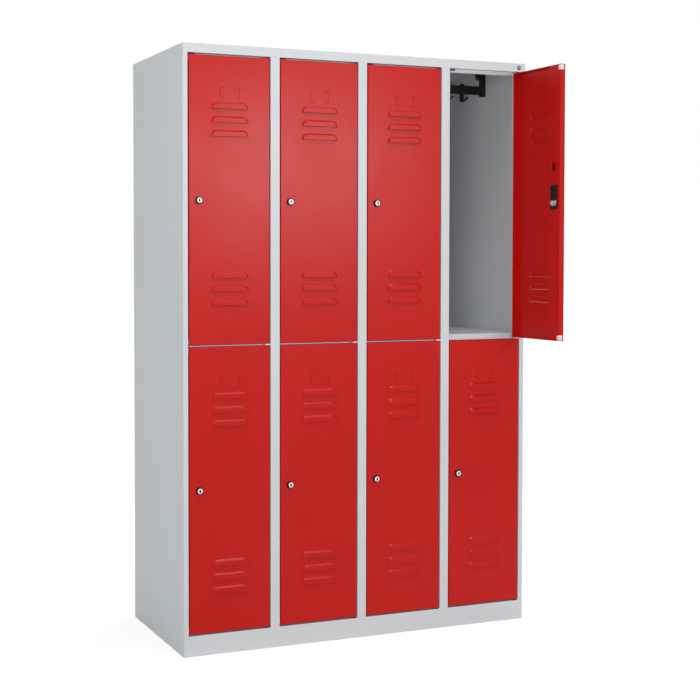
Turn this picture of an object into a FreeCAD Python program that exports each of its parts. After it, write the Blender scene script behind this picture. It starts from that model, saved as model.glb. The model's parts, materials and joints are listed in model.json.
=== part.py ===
import FreeCAD, Part
import math
import os
import Sketcher
from FreeCAD import Rotation, Vector

# Free-standing steel compartment locker: four columns of two compartments with louvred doors.
# Frame in mm: origin on the floor under the middle of the carcass, +X right, +Y to the back, +Z up.
# The doors are hinged on their right edge. The upper door of the last column stands open.

columns = 4
tiers = ("lower", "upper")
hooks = ("centre", "right")
open_door = ("upper", columns)
louvre_count = 3
close = 1e-6  # two lengths nearer than this are the same

sizes = {
    # carcass
    "locker_height": 1800,
    "locker_depth": 500,
    "column_pitch": 290,
    "sheet_thickness": 1,
    "post_width": 29,
    "top_rail_height": 27,
    "plinth_height": 61,
    "plinth_flange": 20,
    "wrap_depth": 50,  # how far the side posts wrap round the sides
    "seam_width": 0.6,  # groove where that wrap meets the side panel
    "seam_depth": 0.5,
    "stop_setback": 20,  # front plane to the stops that the doors close against
    "stop_lap": 10,  # how far a post's stop reaches into the opening on the lock side
    "hinge_lap": 19,  # the same on the hinge side
    "stop_drop": 11.5,  # how far the top stop hangs below the rail
    "notch_width": 30,  # open notch over the lock end of the top stop, from the post
    "notch_height": 5.5,
    "shelf_fold": 31,
    "nose_height": 2.5,  # hemmed nose of a shelf between the two doors
    "nose_setback": 3.5,
    "nose_gap": 2,  # nose to the post on its left
    "nose_end_gap": 6,  # nose to the hinge block on its right
    "floor_rise": 15,  # compartment floor above the plinth
    # doors
    "door_side_gap": 3.5,
    "door_top_gap": 5,
    "door_middle_gap": 5.5,
    "door_bottom_gap": 5,
    "door_depth": 18,
    "door_sheet": 1,
    "bend_radius": 1.5,
    "lock_band": 55,  # width of the folded channel that carries the lock
    "hinge_inset": 5,  # hinge axis to the door's right edge
    "hinge_setback": 5,  # hinge axis behind the door's outer face
    "rest_opening": 91.5,  # degrees
    # pressed features of a door
    "louvre_width": 120,
    "louvre_corner": 18.5,
    "louvre_stem": 1.5,  # straight part of a louvre's side
    "louvre_slope": 6,
    "louvre_bulge": 5,
    "louvre_pitch": 40.3,
    "louvre_edge": 1.5,
    "low_louvres": 116.5,  # door's bottom edge to the lowest slit
    "high_louvres": 235.6,  # door's top edge to the lowest slit of the high group
    "label_width": 63,
    "label_height": 33,
    "label_bottom": 724,  # above the door's bottom edge
    "label_line": 3,  # width of the two pressed brackets that mark the label
    "label_return": 13,
    "label_depth": 0.75,
    "slot_width": 17,
    "slot_height": 24.5,
    "slot_rise": 112,  # lock axis to the middle of the slot in the lock channel
    # hinge pins and bushes
    "pin_radius": 2.5,
    "pin_fit": 0.05,
    "pin_end_gap": 0.3,
    "collar_radius": 4.5,
    "collar_height": 0.8,
    "bearing_gap": 0.2,
    "bush_radius": 3.5,
    "bush_flange_radius": 4.7,
    "bush_stand": 3,
    "block_width": 17,
    "block_depth": 11,
    "block_setback": 1.2,
    # lock
    "lock_inset": 31,  # lock axis to the door's free edge
    "lock_stand": 7,
    "rosette_radius": 11.5,
    "rosette_taper": 1,
    "barrel_radius": 9.5,
    "barrel_fit": 0.1,
    "plug_radius": 8,
    "plug_proud": 0.4,
    "plug_fit": 0.05,
    "key_slot_width": 2,
    "key_slot_height": 9,
    "key_slot_depth": 6,
    "case_inset": 10,  # case to the door's free edge
    "case_width": 36,
    "case_above": 56,
    "case_below": 19,
    "case_depth": 3.5,
    "case_notch": 8,
    "cam_gap": 0.3,
    "cam_width": 16,
    "cam_reach": 38,
    "cam_thickness": 2.5,
    "nut_radius": 9.5,
    "nut_height": 5,
    # door buffers
    "buffer_lip": 9,
    "buffer_wrap": 14,
    "buffer_height": 16,
    "buffer_inset": 2,
    "buffer_proud": 1.6,
    "buffer_edge": 1.2,
    # coat rails and hooks
    "bar_drop": 44,  # ceiling to the top of the bar
    "bar_height": 28,
    "bar_thickness": 10,
    "bracket_drop": 78,
    "bracket_depth": 18,
    "bracket_web": 15,
    "bracket_flange": 30,
    "bracket_rim": 17,
    "bracket_taper": 25,
    "hook_fit": 0.3,
    "hook_wall": 3,
    "hook_bump": 3,
    "hook_slit": 2,
    "hook_width": 12,
    "hook_stem": 6,
    "hook_neck": 8,  # straight stem below the collar
    "hook_bore": 11,
    "hook_tip": 1,
    "hook_spacing": 58,
}

doc = FreeCAD.newDocument("compartment_locker")
sheet = doc.addObject("Spreadsheet::Sheet", "dims")
for row, (alias, size) in enumerate(sizes.items(), start=1):
    sheet.set(f"A{row}", alias)
    sheet.set(f"B{row}", str(size))
    sheet.setAlias(f"B{row}", alias)
doc.recompute()

# Places that several pieces share, as expressions of the sheet's cells
skin = "dims.sheet_thickness"
half_width = f"(({columns} * dims.column_pitch + {skin}) / 2)"
inner_half = f"({half_width} - {skin})"
half_span = f"((dims.column_pitch - {skin}) / 2)"
half_opening = "((dims.column_pitch - dims.post_width) / 2)"
lock_stop = f"(-{half_opening} + dims.stop_lap)"
hinge_stop = f"({half_opening} - dims.hinge_lap)"
front = "(-dims.locker_depth / 2)"
front_back = f"({front} + {skin})"
back = "(dims.locker_depth / 2)"
stop_front = f"({front} + dims.stop_setback)"
stop_back = f"({stop_front} + {skin})"
top = "dims.locker_height"
top_under = f"({top} - {skin})"
rail_bottom = f"({top} - dims.top_rail_height)"
plinth_top = "dims.plinth_height"
floor_top = f"({plinth_top} + dims.floor_rise)"
door_gaps = "(dims.door_top_gap + dims.door_middle_gap + dims.door_bottom_gap)"
door_height = f"(({rail_bottom} - {plinth_top} - {door_gaps}) / 2)"
door_width = f"(2 * {half_opening} - 2 * dims.door_side_gap)"
door_bottom = {"lower": f"({plinth_top} + dims.door_bottom_gap)"}
door_bottom["upper"] = f"({door_bottom['lower']} + {door_height} + dims.door_middle_gap)"
middle = f"({door_bottom['upper']} - dims.door_middle_gap / 2)"
shelf_top = f"({middle} + dims.shelf_fold / 2)"
ceiling = {"lower": f"({shelf_top} - {skin})", "upper": top_under}
axis_y = f"({front} + dims.hinge_setback)"
collar_gap = "(dims.collar_height + dims.bearing_gap)"
bore_radius = "(dims.pin_radius + dims.pin_fit)"

# Places on a door, from its hinge axis and its bottom edge
door_right = "dims.hinge_inset"
door_left = f"({door_right} - {door_width})"
door_middle = f"({door_right} - {door_width} / 2)"
door_out = "(-dims.hinge_setback)"
door_in = f"(dims.door_depth + {door_out})"
lock_x = f"({door_left} + dims.lock_inset)"
lock_z = f"({door_height} / 2)"
lock_front = f"({door_out} - dims.lock_stand)"
case_back = f"({door_in} + dims.case_depth)"

nodes = []


def column_x(column):
    return f"({column - (columns + 1) / 2} * dims.column_pitch)"


def axis_x(column):
    return f"({column_x(column)} + {half_opening} - dims.door_side_gap - dims.hinge_inset)"


def value(expression):
    return float(sheet.evalExpression(expression.replace("dims.", "")))


# Solids of the sheet-metal and turned pieces


def place(part, point):
    for letter, expression in zip("xyz", point):
        part.setExpression(f"Placement.Base.{letter}", expression)


def block(name, x, y, z):
    part = doc.addObject("Part::Box", name)
    for side, (low, high) in zip(("Length", "Width", "Height"), (x, y, z)):
        part.setExpression(side, f"({high}) - ({low})")
    place(part, (x[0], y[0], z[0]))
    return part


def rod(name, radius, start, length, turn=0):
    part = doc.addObject("Part::Cylinder", name)
    part.setExpression("Radius", radius)
    part.setExpression("Height", length)
    part.Placement.Rotation = Rotation(Vector(1, 0, 0), turn)
    place(part, start)
    return part


def fuse(name, parts):
    joined = doc.addObject("Part::MultiFuse", name)
    joined.Shapes = parts
    joined.Refine = True
    return joined


def cut(name, base, tools):
    left = doc.addObject("Part::Cut", name)
    left.Base = base
    left.Tool = tools[0] if len(tools) == 1 else group(f"{name}_tools", tools)
    return left


def group(name, parts):
    together = doc.addObject("Part::Compound", name)
    together.Links = parts
    return together


def copy(name, parts, point, turn=None):
    placed = group(name, parts)
    if turn:
        placed.Placement.Rotation = Rotation(Vector(0, 0, 1), value(turn))
        placed.setExpression("Placement.Rotation.Angle", turn)
    place(placed, point)
    return placed


def mirror(name, part):
    flipped = doc.addObject("Part::Mirroring", name)
    flipped.Source = part
    flipped.Normal = Vector(1, 0, 0)
    return flipped


def node(part, label):
    part.Label = label
    nodes.append(part)


# Sketches of the pressed and moulded pieces


def origin_feature(body, role):
    return next(feature for feature in body.Origin.OriginFeatures if feature.Role == role)


def sketch_on(body, name, role, lift):
    sketch = body.newObject("Sketcher::SketchObject", name)
    sketch.AttachmentSupport = [(origin_feature(body, role), "")]
    sketch.MapMode = "FlatFace"
    sketch.setExpression("AttachmentOffset.Base.z", lift)
    return sketch


def fix(sketch, kind, edge, vertex, expression):
    constraint = Sketcher.Constraint(kind, -1, 1, edge, vertex, value(expression))
    index = sketch.addConstraint(constraint)
    sketch.setExpression(f"Constraints[{index}]", expression)


def arc(start, end, centre, leftward):
    first, last = (start, end) if leftward else (end, start)
    begin = math.atan2(first.y - centre.y, first.x - centre.x)
    finish = math.atan2(last.y - centre.y, last.x - centre.x)
    if finish <= begin:
        finish += 2 * math.pi
    circle = Part.Circle(centre, Vector(0, 0, 1), (start - centre).Length)
    return Part.ArcOfCircle(circle, begin, finish)


# A closed outline through corners. arcs gives, for the edge after a corner, its centre and its turn.
def outline(sketch, corners, arcs=None):
    arcs = arcs or {}
    points = [Vector(value(x), value(y), 0) for x, y in corners]
    edges = []
    for index, start in enumerate(points):
        end = points[(index + 1) % len(points)]
        if index in arcs:
            x, y, leftward = arcs[index]
            edge = sketch.addGeometry(arc(start, end, Vector(value(x), value(y), 0), leftward))
            edges.append((edge, 1, 2) if leftward else (edge, 2, 1))
        else:
            edges.append((sketch.addGeometry(Part.LineSegment(start, end)), 1, 2))
    for index, (edge, begin, finish) in enumerate(edges):
        following, joint, _ = edges[(index + 1) % len(edges)]
        sketch.addConstraint(Sketcher.Constraint("Coincident", edge, finish, following, joint))
        fix(sketch, "DistanceX", edge, begin, corners[index][0])
        fix(sketch, "DistanceY", edge, begin, corners[index][1])
        if index in arcs:
            fix(sketch, "DistanceY", edge, 3, arcs[index][1])


def rectangle(sketch, x, y):
    outline(sketch, [(x[0], y[0]), (x[1], y[0]), (x[1], y[1]), (x[0], y[1])])


def circle(sketch, x, y, radius):
    centre = Vector(value(x), value(y), 0)
    edge = sketch.addGeometry(Part.Circle(centre, Vector(0, 0, 1), value(radius)))
    fix(sketch, "DistanceX", edge, 3, x)
    fix(sketch, "DistanceY", edge, 3, y)
    index = sketch.addConstraint(Sketcher.Constraint("Radius", edge, value(radius)))
    sketch.setExpression(f"Constraints[{index}]", radius)


def pad(body, sketch, length):
    feature = body.newObject("PartDesign::Pad", f"{sketch.Name}_pad")
    feature.Profile = sketch
    feature.setExpression("Length", length)
    return feature


def pocket(body, sketch, depth, outward=False):
    feature = body.newObject("PartDesign::Pocket", f"{sketch.Name}_pocket")
    feature.Profile = sketch
    feature.Reversed = outward
    feature.setExpression("Length", depth)
    return feature


def loft(body, kind, name, first, last):
    feature = body.newObject(f"PartDesign::{kind}", name)
    feature.Profile = first
    feature.Sections = [last]
    return feature


def fillet(body, base, name, radius, chosen):
    doc.recompute()
    edges = enumerate(base.Shape.Edges, start=1)
    feature = body.newObject("PartDesign::Fillet", name)
    feature.Base = (base, [f"Edge{number}" for number, edge in edges if chosen(edge)])
    feature.setExpression("Radius", radius)
    return feature


def lies_at(edge, letter, place_of):
    reach = value(place_of)
    return all(abs(getattr(vertex, letter) - reach) < close for vertex in edge.Vertexes)


# Carcass


def side_panel():
    y_start = f"({front} + dims.wrap_depth)"
    panel = block("side_sheet", (f"-{half_width}", f"-{inner_half}"), (y_start, back), ("0", top))
    groove_x = (f"-{half_width}", f"-{half_width} + dims.seam_depth")
    groove = block("side_seam", groove_x, (y_start, f"{y_start} + dims.seam_width"), ("0", top))
    left = cut("left_side", panel, [groove])
    node(left, "left_side_panel")
    node(mirror("right_side", left), "right_side_panel")


def flat_panels():
    across = (f"-{inner_half}", inner_half)
    inside_y = (front_back, f"{back} - {skin}")
    node(block("back_sheet", across, (f"{back} - {skin}", back), ("0", top)), "back_panel")
    node(block("top_sheet", across, inside_y, (top_under, top)), "top_panel")
    floor_y = (stop_front, f"{back} - {skin}")
    floor = block("floor_sheet", across, floor_y, (f"{floor_top} - {skin}", floor_top))
    fold = block("floor_fold", across, (stop_front, stop_back), (plinth_top, floor_top))
    node(fuse("floor", [floor, fold]), "floor_panel")


# Closed plinth frame: a tall front with a top return for the hinge bushes, and a foot flange all round
def plinth():
    left, right = f"-{inner_half}", inner_half
    rear = f"({back} - {skin})"
    wall_z = ("0", plinth_top)
    foot_z = ("0", skin)
    return_z = (f"{plinth_top} - {skin}", plinth_top)
    flange = "dims.plinth_flange"
    pieces = [
        block("plinth_front", (left, right), (front, front_back), wall_z),
        block("plinth_left", (left, f"{left} + {skin}"), (front_back, rear), wall_z),
        block("plinth_right", (f"{right} - {skin}", right), (front_back, rear), wall_z),
        block("plinth_rear", (left, right), (f"{rear} - {skin}", rear), wall_z),
        block("foot_front", (left, right), (front_back, f"{front} + {flange}"), foot_z),
        block("foot_rear", (left, right), (f"{rear} - {flange}", rear), foot_z),
        block("foot_left", (left, f"{left} + {flange}"), (front_back, rear), foot_z),
        block("foot_right", (f"{right} - {flange}", right), (front_back, rear), foot_z),
        block("plinth_return", (left, right), (front_back, stop_back), return_z),
    ]
    frame = fuse("plinth_frame", pieces)
    node(cut("plinth_drilled", frame, bush_holes("plinth_hole", f"{plinth_top} - {skin}")), "plinth")


def bush_holes(name, start):
    places = [(axis_x(column), axis_y, start) for column in range(1, columns + 1)]
    holes = []
    for number, point in enumerate(places, start=1):
        holes.append(rod(f"{name}_{number}", "dims.bush_radius", point, skin))
    return holes


# Top rail with a return for the hinge bushes and, over each column, a stop with a notch at its lock end
def top_rail():
    across = (f"-{inner_half}", inner_half)
    pieces = [
        block("rail_face", across, (front, front_back), (rail_bottom, top)),
        block("rail_return", across, (front_back, stop_back), (rail_bottom, f"{rail_bottom} + {skin}")),
    ]
    for column in range(1, columns + 1):
        strip_end = f"{column_x(column)} + {hinge_stop}"
        strip_x = (f"{column_x(column)} + {lock_stop}", strip_end)
        strip_y = (stop_front, stop_back)
        strip_top = f"({rail_bottom} - dims.notch_height)"
        strip_z = (f"{rail_bottom} - dims.stop_drop", strip_top)
        pieces.append(block(f"rail_stop_{column}", strip_x, strip_y, strip_z))
        web_x = (f"{column_x(column)} - {half_opening} + dims.notch_width", strip_end)
        pieces.append(block(f"rail_web_{column}", web_x, strip_y, (strip_top, rail_bottom)))
    rail = fuse("rail", pieces)
    node(cut("rail_drilled", rail, bush_holes("rail_hole", rail_bottom)), "top_rail")


# Post at the left end, with a wrap round the side in place of one leg
def side_post(name, lap, face_z, strip_z):
    opening_edge = f"({column_x(1)} - {half_opening})"
    wrap_y = (front, f"{front} + dims.wrap_depth")
    leg_y = (front_back, stop_front)
    strip_x = (f"-{inner_half}", f"{opening_edge} + {lap}")
    return fuse(
        name,
        [
            block(f"{name}_wrap", (f"-{half_width}", f"-{inner_half}"), wrap_y, ("0", top)),
            block(f"{name}_face", (f"-{inner_half}", opening_edge), (front, front_back), face_z),
            block(f"{name}_leg", (f"{opening_edge} - {skin}", opening_edge), leg_y, face_z),
            block(f"{name}_strip", strip_x, (stop_front, stop_back), strip_z),
        ],
    )


# A post is a face, two legs and a wide back strip whose edges stop the doors
def front_posts():
    face_z = (plinth_top, rail_bottom)
    strip_z = (floor_top, rail_bottom)
    leg_y = (front_back, stop_front)
    half_post = "(dims.post_width / 2)"
    middle_x = (f"-{half_post} - dims.hinge_lap", f"{half_post} + dims.stop_lap")
    middle_post = fuse(
        "middle_post",
        [
            block("post_face", (f"-{half_post}", half_post), (front, front_back), face_z),
            block("post_left_leg", (f"-{half_post}", f"-{half_post} + {skin}"), leg_y, face_z),
            block("post_right_leg", (f"{half_post} - {skin}", half_post), leg_y, face_z),
            block("post_strip", middle_x, (stop_front, stop_back), strip_z),
        ],
    )
    posts = [
        side_post("left_post", "dims.stop_lap", face_z, strip_z),
        mirror("right_post", side_post("right_post_flipped", "dims.hinge_lap", face_z, strip_z)),
    ]
    for column in range(1, columns):
        between = f"{column_x(column)} + dims.column_pitch / 2"
        posts.append(copy(f"post_{column}", [middle_post], (between, "0", "0")))
    node(group("posts", posts), "front_posts")


def partitions():
    walls = []
    for column in range(1, columns):
        centre = f"({column_x(column)} + dims.column_pitch / 2)"
        wall_x = (f"{centre} - {skin} / 2", f"{centre} + {skin} / 2")
        wall_y = (stop_back, f"{back} - {skin}")
        walls.append(block(f"partition_{column}", wall_x, wall_y, (floor_top, top_under)))
    node(group("partition_walls", walls), "partitions")


# A shelf is a plate, a deep front fold that stops both doors and a nose in the gap between them
def shelves():
    plate_y = (stop_back, f"{back} - {skin}")
    plate = block("shelf_plate", (f"-{half_span}", half_span), plate_y, (f"{shelf_top} - {skin}", shelf_top))
    fold_z = (f"{shelf_top} - dims.shelf_fold", shelf_top)
    fold = block("shelf_front", (lock_stop, hinge_stop), (stop_front, stop_back), fold_z)
    nose_x = (
        f"-{half_opening} + dims.nose_gap",
        f"{half_opening} - dims.block_width - dims.nose_end_gap",
    )
    nose_z = (f"{middle} - dims.nose_height / 2", f"{middle} + dims.nose_height / 2")
    nose = block("shelf_nose", nose_x, (f"{front} + dims.nose_setback", stop_front), nose_z)
    shelf = fuse("shelf", [plate, fold, nose])
    copies = []
    for column in range(1, columns + 1):
        copies.append(copy(f"shelf_{column}", [shelf], (column_x(column), "0", "0")))
    node(group("shelf_set", copies), "shelves")


# Bar and end brackets in one moulding, drawn from the ceiling down
def coat_rail():
    body = doc.addObject("PartDesign::Body", "coat_rail")
    bar = sketch_on(body, "bar", "XZ_Plane", "-dims.bar_thickness / 2")
    bar_z = ("-dims.bar_drop - dims.bar_height", "-dims.bar_drop")
    rectangle(bar, (f"-{half_span}", half_span), bar_z)
    pad(body, bar, "dims.bar_thickness")
    brackets = sketch_on(body, "brackets", "XZ_Plane", "-dims.bracket_depth / 2")
    for side in ("-1", "1"):
        wall = f"{side} * {half_span}"
        flange = f"{side} * ({half_span} - dims.bracket_flange)"
        web = f"{side} * ({half_span} - dims.bracket_web)"
        corners = [
            (wall, "0"),
            (flange, "0"),
            (flange, "-dims.bracket_rim"),
            (web, "-dims.bracket_taper"),
            (web, "-dims.bracket_drop"),
            (wall, "-dims.bracket_drop"),
        ]
        outline(brackets, corners)
    pad(body, brackets, "dims.bracket_depth")
    return body


def coat_rails():
    rail = coat_rail()
    copies = []
    for tier in tiers:
        for column in range(1, columns + 1):
            spot = (column_x(column), "0", ceiling[tier])
            copies.append(copy(f"{tier}_coat_rail_{column}", [rail], spot))
    node(group("coat_rail_set", copies), "coat_rails")


# Hinge bushes, drawn about the hinge axis


def upright(name, radius, low, high):
    return rod(name, radius, ("0", "0", low), f"{high} - {low}")


def bush(name, flange_z, neck_z):
    flange = upright(f"{name}_flange", "dims.bush_flange_radius", *flange_z)
    neck = upright(f"{name}_neck", "dims.bush_radius", *neck_z)
    low = min(flange_z[0], neck_z[0], key=value)
    high = max(flange_z[1], neck_z[1], key=value)
    bore = upright(f"{name}_bore", bore_radius, low, high)
    return cut(name, fuse(f"{name}_blank", [flange, neck]), [bore])


def hinge_bushes():
    rail_seat = f"({rail_bottom} - dims.door_top_gap + {collar_gap})"
    rail_neck = f"({rail_bottom} + {skin} + dims.bush_stand)"
    plinth_seat = f"({plinth_top} + dims.door_bottom_gap - {collar_gap})"
    plinth_neck = f"({plinth_top} - {skin} - dims.bush_stand)"
    block_z = (
        f"({middle} - dims.door_middle_gap / 2 + {collar_gap})",
        f"({middle} + dims.door_middle_gap / 2 - {collar_gap})",
    )
    leg = "(dims.hinge_inset + dims.door_side_gap)"
    block_x = (f"{leg} - dims.block_width", leg)
    block_front = "(dims.block_setback - dims.hinge_setback)"
    block_y = (block_front, f"{block_front} + dims.block_depth")
    blank = block("hinge_blank", block_x, block_y, block_z)
    bore = upright("hinge_bore", bore_radius, *block_z)
    masters = [
        bush("rail_bush", (rail_seat, rail_bottom), (rail_bottom, rail_neck)),
        cut("hinge_block", blank, [bore]),
        bush("plinth_bush", (plinth_top, plinth_seat), (plinth_neck, plinth_top)),
    ]
    copies = []
    for column in range(1, columns + 1):
        copies.append(copy(f"bushes_{column}", masters, (axis_x(column), axis_y, "0")))
    node(group("bush_set", copies), "hinge_bushes")


# Door pieces, drawn about the hinge axis and the door's bottom edge


def louvre(body, name, depth, inset, bottom):
    sketch = sketch_on(body, name, "XZ_Plane", depth)
    half = f"(dims.louvre_width / 2 - {inset})"
    flat = "(dims.louvre_width / 2 - dims.louvre_corner)"
    stem = f"({bottom} + dims.louvre_stem)"
    crown = f"({stem} + dims.louvre_corner - {inset})"
    corners = [
        (f"{door_middle} - {half}", bottom),
        (f"{door_middle} + {half}", bottom),
        (f"{door_middle} + {half}", stem),
        (f"{door_middle} + {flat}", crown),
        (f"{door_middle} - {flat}", crown),
        (f"{door_middle} - {half}", stem),
    ]
    right = (f"{door_middle} + {flat}", stem, True)
    left = (f"{door_middle} - {flat}", stem, True)
    outline(sketch, corners, {2: right, 4: left})
    return sketch


# Three pressed louvres above one another, each a hood that is open along its bottom edge
def louvre_rows(body, name, bottom):
    inner = "dims.hinge_setback - dims.door_sheet"
    crest = "dims.hinge_setback + dims.louvre_bulge"
    thin = "(dims.louvre_slope + dims.door_sheet / 2)"
    foot = louvre(body, f"{name}_hood_foot", inner, "0", bottom)
    head = louvre(body, f"{name}_hood_crest", crest, "dims.louvre_slope", bottom)
    hood = loft(body, "AdditiveLoft", f"{name}_hood", foot, head)
    foot = louvre(body, f"{name}_hollow_foot", inner, "dims.door_sheet", bottom)
    head = louvre(body, f"{name}_hollow_crest", f"{crest} - dims.door_sheet", thin, bottom)
    hollow = loft(body, "SubtractiveLoft", f"{name}_hollow", foot, head)
    rows = body.newObject("PartDesign::LinearPattern", f"{name}_rows")
    rows.Originals = [hood, hollow]
    rows.Direction = (origin_feature(body, "Z_Axis"), [""])
    rows.Mode = "Spacing"
    rows.Occurrences = louvre_count
    rows.setExpression("Offset", "dims.louvre_pitch")
    body.Tip = rows
    return rows


def louvres(body):
    louvre_rows(body, "low", "dims.low_louvres")
    rows = louvre_rows(body, "high", f"({door_height} - dims.high_louvres)")
    fillet(body, rows, "louvre_edges", "dims.louvre_edge", is_crest)


# The edges round a louvre's crest, without the straight one over its slit
def is_crest(edge):
    crest_width = value("dims.louvre_width - 2 * dims.louvre_slope")
    over_slit = abs(edge.BoundBox.XLength - crest_width) < close
    return lies_at(edge, "Y", f"{door_out} - dims.louvre_bulge") and not over_slit


def door_shell():
    body = doc.addObject("PartDesign::Body", "door_shell")
    inside = "dims.hinge_setback - dims.door_depth"
    skin_in = "dims.door_sheet"
    band = f"({door_left} + dims.lock_band)"
    blank = sketch_on(body, "door_blank", "XZ_Plane", inside)
    rectangle(blank, (door_left, door_right), ("0", door_height))
    block_pad = pad(body, blank, "dims.door_depth")
    fillet(body, block_pad, "door_bends", "dims.bend_radius", lambda edge: lies_at(edge, "Y", door_out))
    hollow_z = (skin_in, f"{door_height} - {skin_in}")
    pan = sketch_on(body, "door_pan", "XZ_Plane", inside)
    rectangle(pan, (band, f"{door_right} - {skin_in}"), hollow_z)
    pocket(body, pan, f"dims.door_depth - {skin_in}", outward=True)
    channel = sketch_on(body, "lock_channel", "XZ_Plane", f"{inside} + {skin_in}")
    rectangle(channel, (f"{door_left} + {skin_in}", f"{band} - {skin_in}"), hollow_z)
    pocket(body, channel, f"dims.door_depth - 2 * {skin_in}", outward=True)
    louvres(body)
    label_brackets(body)
    hole = sketch_on(body, "lock_hole", "XZ_Plane", "dims.hinge_setback")
    circle(hole, lock_x, lock_z, "dims.barrel_radius + dims.barrel_fit")
    pocket(body, hole, "dims.door_depth")
    channel_slot(body, inside)
    return body


# Two shallow pressed lines, open towards each other, between which a label is stuck
def label_brackets(body):
    sketch = sketch_on(body, "label_brackets", "XZ_Plane", "dims.hinge_setback")
    low, high = "dims.label_bottom", "(dims.label_bottom + dims.label_height)"
    line = "dims.label_line"
    for side in ("-1", "1"):
        outer = f"({door_middle} + {side} * dims.label_width / 2)"
        inner = f"({outer} - {side} * {line})"
        end = f"({outer} - {side} * dims.label_return)"
        corners = [
            (outer, low),
            (end, low),
            (end, f"{low} + {line}"),
            (inner, f"{low} + {line}"),
            (inner, f"{high} - {line}"),
            (end, f"{high} - {line}"),
            (end, high),
            (outer, high),
        ]
        outline(sketch, corners)
    pocket(body, sketch, "dims.label_depth")


# Upright oval slot in the lock channel
def channel_slot(body, inside):
    slot = sketch_on(body, "channel_slot", "XZ_Plane", inside)
    radius = "(dims.slot_width / 2)"
    rise = f"({lock_z} + dims.slot_rise)"
    low = f"({rise} - dims.slot_height / 2 + {radius})"
    high = f"({rise} + dims.slot_height / 2 - {radius})"
    left, right = f"{lock_x} - {radius}", f"{lock_x} + {radius}"
    corners = [(left, low), (right, low), (right, high), (left, high)]
    outline(slot, corners, {0: (lock_x, low, True), 2: (lock_x, high, True)})
    pocket(body, slot, "dims.door_sheet", outward=True)


def pin(name, edge, reach, upward):
    low = edge if upward else f"{edge} - {reach}"
    collar_low = edge if upward else f"{edge} - dims.collar_height"
    shank = rod(f"{name}_shank", "dims.pin_radius", ("0", "0", low), reach)
    collar = rod(f"{name}_collar", "dims.collar_radius", ("0", "0", collar_low), "dims.collar_height")
    return fuse(name, [shank, collar])


def door_pins():
    short = "(dims.door_middle_gap / 2 - dims.pin_end_gap)"
    sleeve = f"({skin} + dims.bush_stand - dims.pin_end_gap)"
    return {
        "lower": [
            pin("lower_foot_pin", "0", f"(dims.door_bottom_gap + {sleeve})", False),
            pin("lower_head_pin", door_height, short, True),
        ],
        "upper": [
            pin("upper_foot_pin", "0", short, False),
            pin("upper_head_pin", door_height, f"(dims.door_top_gap + {sleeve})", True),
        ],
    }


# Sleeve through the door with a rosette outside and a lock case on the channel inside
def lock_body():
    rosette = doc.addObject("Part::Cone", "rosette")
    rosette.setExpression("Radius1", "dims.rosette_radius")
    rosette.setExpression("Radius2", "dims.rosette_radius - dims.rosette_taper")
    rosette.setExpression("Height", "dims.lock_stand")
    rosette.Placement.Rotation = Rotation(Vector(1, 0, 0), 90)
    place(rosette, (lock_x, door_out, lock_z))
    barrel = rod("barrel", "dims.barrel_radius", (lock_x, door_out, lock_z), "dims.door_depth", -90)
    case_edge = f"({door_left} + dims.case_inset)"
    case_x = (case_edge, f"{case_edge} + dims.case_width")
    case_z = (f"{lock_z} - dims.case_below", f"{lock_z} + dims.case_above")
    case = block("lock_case", case_x, (door_in, case_back), case_z)
    bore = rod(
        "lock_bore",
        "dims.plug_radius + dims.plug_fit",
        (lock_x, lock_front, lock_z),
        f"{case_back} - {lock_front}",
        -90,
    )
    half_notch = "(dims.case_notch / 2)"
    notch_z = (f"{lock_z} - dims.case_below", f"{lock_z} - dims.case_below + dims.case_notch")
    notch_x = (f"{lock_x} - {half_notch}", f"{lock_x} + {half_notch}")
    notch = block("case_foot_gap", notch_x, (door_in, case_back), notch_z)
    return cut("lock_housing", fuse("lock_blank", [rosette, barrel, case]), [bore, notch])


# Plug with a key slot, and behind the case the cam and the nut that holds it
def lock_cylinder():
    plug_front = f"({lock_front} - dims.plug_proud)"
    cam_front = f"({case_back} + dims.cam_gap)"
    cam_back = f"({cam_front} + dims.cam_thickness)"
    half_cam = "(dims.cam_width / 2)"
    plug = rod("plug", "dims.plug_radius", (lock_x, plug_front, lock_z), f"{cam_front} - {plug_front}", -90)
    cam_end = rod("cam_end", half_cam, (lock_x, cam_front, lock_z), "dims.cam_thickness", -90)
    cam_x = (f"{lock_x} - {half_cam}", f"{lock_x} + {half_cam}")
    cam = block("cam", cam_x, (cam_front, cam_back), (lock_z, f"{lock_z} + dims.cam_reach"))
    nut = doc.addObject("Part::Prism", "cam_nut")
    nut.Polygon = 6
    nut.setExpression("Circumradius", "dims.nut_radius")
    nut.setExpression("Height", "dims.nut_height")
    nut.Placement.Rotation = Rotation(Vector(1, 0, 0), -90)
    place(nut, (lock_x, cam_back, lock_z))
    half_slot = "(dims.key_slot_width / 2)"
    half_tall = "(dims.key_slot_height / 2)"
    key_slot = block(
        "key_slot",
        (f"{lock_x} - {half_slot}", f"{lock_x} + {half_slot}"),
        (plug_front, f"{plug_front} + dims.key_slot_depth"),
        (f"{lock_z} - {half_tall}", f"{lock_z} + {half_tall}"),
    )
    return cut("lock_core", fuse("core_blank", [plug, cam_end, cam, nut]), [key_slot])


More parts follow.
